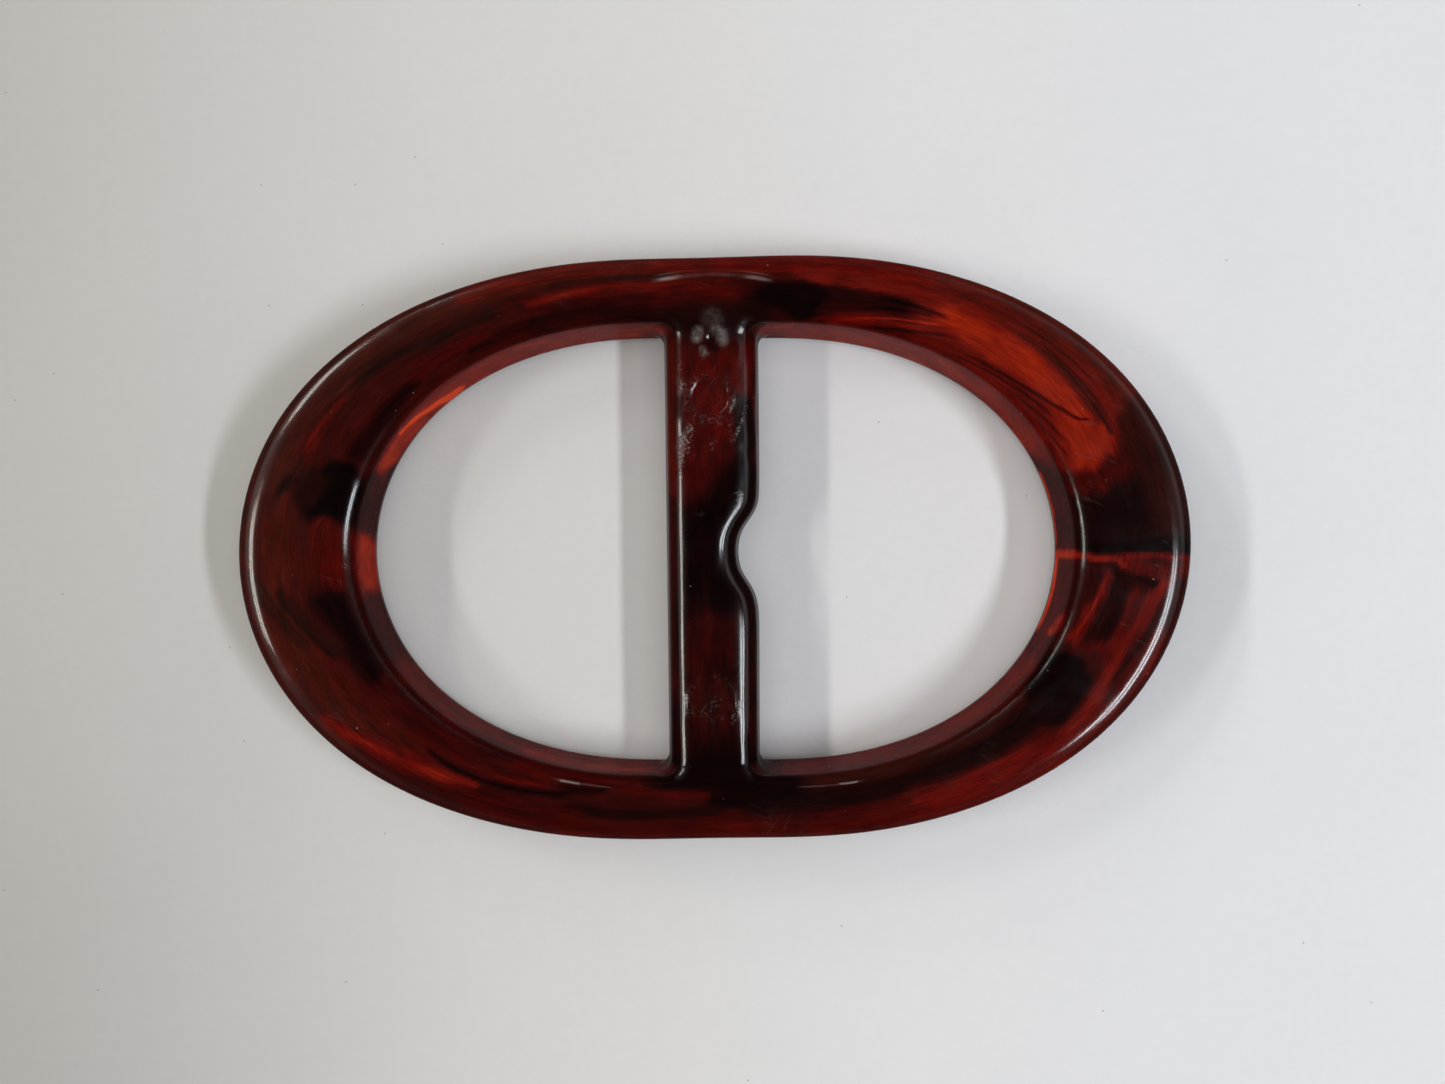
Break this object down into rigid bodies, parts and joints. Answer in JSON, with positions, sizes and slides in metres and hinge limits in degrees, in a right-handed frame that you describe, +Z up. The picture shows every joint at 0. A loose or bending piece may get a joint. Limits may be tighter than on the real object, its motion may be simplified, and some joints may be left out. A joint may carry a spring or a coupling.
{
  "type": "oval hair slide",
  "caption": "Flat oval slide of tortoiseshell plastic: a wide glossy ring crossed by a notched bar that hair, a scarf or a strap is drawn over.",
  "frame": {"origin": "centre of the footprint on the surface the slide lies on", "axes": "+Z up out of the display face, +X along the long axis of the oval towards the side the bar's notch opens to, +Y along the cross bar; the gate vestige is at the -X end"},
  "size_m": [0.0603, 0.0368, 0.005],
  "materials": {
    "tortoiseshell": "glossy translucent plastic, dark red-brown and black cloud with amber streaks"
  },
  "bodies": {
    "root": {"oval_frame": "tortoiseshell", "centre_bar": "tortoiseshell"}
  },
  "joints": []
}
